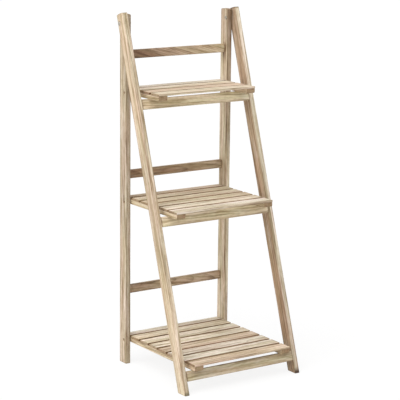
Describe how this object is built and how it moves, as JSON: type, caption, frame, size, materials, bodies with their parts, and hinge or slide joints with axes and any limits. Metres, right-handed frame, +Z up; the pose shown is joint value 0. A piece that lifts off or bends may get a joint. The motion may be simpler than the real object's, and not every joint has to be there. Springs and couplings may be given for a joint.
{
  "type": "plant ladder stand",
  "caption": "Folding ladder-shaped wooden plant stand: an upright rear frame, a leaning front frame and slatted shelves that grow deeper towards the floor.",
  "frame": {"origin": "centre of the bounding box, on the floor", "axes": "+X to the right seen from the front, +Y towards the rear, +Z up"},
  "size_m": [0.3954, 0.367, 1.0088],
  "materials": {
    "frame_wood": "washed softwood, matt",
    "batten_wood": "washed softwood, matt",
    "slat_wood": "washed softwood, matt",
    "steel": "zinc plated, dulled"
  },
  "bodies": {
    "rear_frame": {"rear_post_left": "frame_wood", "rear_post_right": "frame_wood", "rear_bar_top": "frame_wood", "rear_bar_middle": "frame_wood", "rear_bar_bottom": "frame_wood"},
    "front_frame": {"front_rail_left": "frame_wood", "front_rail_right": "frame_wood", "front_bar_top": "frame_wood", "front_bar_middle": "frame_wood", "front_bar_bottom": "frame_wood", "hinge_bolt_left": "steel", "hinge_bolt_right": "steel", "hinge_spacer_left": "steel", "hinge_spacer_right": "steel", "hinge_cap_nut_left": "steel", "hinge_cap_nut_right": "steel"},
    "shelf_top": {"top_slat_1": "slat_wood", "top_slat_2": "slat_wood", "top_slat_3": "slat_wood", "top_slat_4": "slat_wood", "top_batten_left": "batten_wood", "top_batten_right": "batten_wood", "top_pivot_screw_left": "steel", "top_pivot_screw_right": "steel", "top_pivot_spacer_left": "steel", "top_pivot_spacer_right": "steel"},
    "shelf_middle": {"middle_slat_1": "slat_wood", "middle_slat_2": "slat_wood", "middle_slat_3": "slat_wood", "middle_slat_4": "slat_wood", "middle_slat_5": "slat_wood", "middle_slat_6": "slat_wood", "middle_batten_left": "batten_wood", "middle_batten_right": "batten_wood", "middle_pivot_screw_left": "steel", "middle_pivot_screw_right": "steel", "middle_pivot_spacer_left": "steel", "middle_pivot_spacer_right": "steel"},
    "shelf_bottom": {"bottom_slat_1": "slat_wood", "bottom_slat_2": "slat_wood", "bottom_slat_3": "slat_wood", "bottom_slat_4": "slat_wood", "bottom_slat_5": "slat_wood", "bottom_slat_6": "slat_wood", "bottom_slat_7": "slat_wood", "bottom_slat_8": "slat_wood", "bottom_batten_left": "batten_wood", "bottom_batten_right": "batten_wood", "bottom_pivot_screw_left": "steel", "bottom_pivot_screw_right": "steel", "bottom_pivot_spacer_left": "steel", "bottom_pivot_spacer_right": "steel"}
  },
  "joints": [
    {"name": "front_frame_hinge", "type": "hinge", "parent": "rear_frame", "child": "front_frame", "pos_m": [0, 0.1575, 0.978], "axis": [1, 0, 0], "range_deg": [0, 16]},
    {"name": "shelf_top_hinge", "type": "hinge", "parent": "rear_frame", "child": "shelf_top", "pos_m": [0, 0.1605, 0.785], "axis": [-1, 0, 0], "range_deg": [0, 82]},
    {"name": "shelf_middle_hinge", "type": "hinge", "parent": "rear_frame", "child": "shelf_middle", "pos_m": [0, 0.1605, 0.4745], "axis": [-1, 0, 0], "range_deg": [0, 84]},
    {"name": "shelf_bottom_hinge", "type": "hinge", "parent": "rear_frame", "child": "shelf_bottom", "pos_m": [0, 0.1605, 0.0695], "axis": [-1, 0, 0], "range_deg": [0, 87]}
  ],
  "couplings": [
    {"joint": "shelf_top_hinge", "follows": "front_frame_hinge", "ratio": 5.125},
    {"joint": "shelf_middle_hinge", "follows": "front_frame_hinge", "ratio": 5.25},
    {"joint": "shelf_bottom_hinge", "follows": "front_frame_hinge", "ratio": 5.4375}
  ]
}
